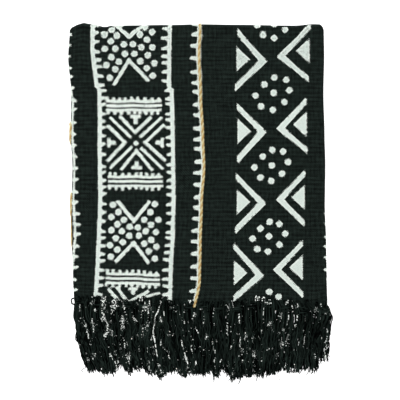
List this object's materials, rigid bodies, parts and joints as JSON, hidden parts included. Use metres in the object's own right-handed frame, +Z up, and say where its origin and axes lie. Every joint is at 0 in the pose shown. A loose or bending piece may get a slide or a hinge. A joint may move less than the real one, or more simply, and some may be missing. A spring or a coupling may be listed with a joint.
{
  "type": "folded throw",
  "caption": "Black mud cloth throw of narrow woven strips with pale painted bands, folded into a flat rectangle with a knotted fringe at one end.",
  "frame": {"origin": "under the middle of the folded throw's outline, on the surface it lies on", "axes": "+Z up, +Y towards the folded edge opposite the fringe, +X to the right as seen from above with the fringe nearest"},
  "size_m": [0.308, 0.4288, 0.0341],
  "materials": {
    "painted_cotton": "matte black cotton, painted off-white in bands",
    "fringe_yarn": "matte black cotton yarn, flecked with paint"
  },
  "bodies": {
    "root": {"strip_1": "painted_cotton", "strip_2": "painted_cotton", "strip_3": "painted_cotton", "strip_4": "painted_cotton", "strip_5": "painted_cotton", "strip_6": "painted_cotton", "strip_7": "painted_cotton", "strip_8": "painted_cotton", "fringe_1_upper": "fringe_yarn", "fringe_2_upper": "fringe_yarn", "fringe_3_upper": "fringe_yarn", "fringe_4_upper": "fringe_yarn", "fringe_5_upper": "fringe_yarn", "fringe_6_upper": "fringe_yarn", "fringe_7_upper": "fringe_yarn", "fringe_8_upper": "fringe_yarn", "fringe_1_lower": "fringe_yarn", "fringe_2_lower": "fringe_yarn", "fringe_3_lower": "fringe_yarn", "fringe_4_lower": "fringe_yarn", "fringe_5_lower": "fringe_yarn", "fringe_6_lower": "fringe_yarn", "fringe_7_lower": "fringe_yarn", "fringe_8_lower": "fringe_yarn"}
  },
  "joints": []
}
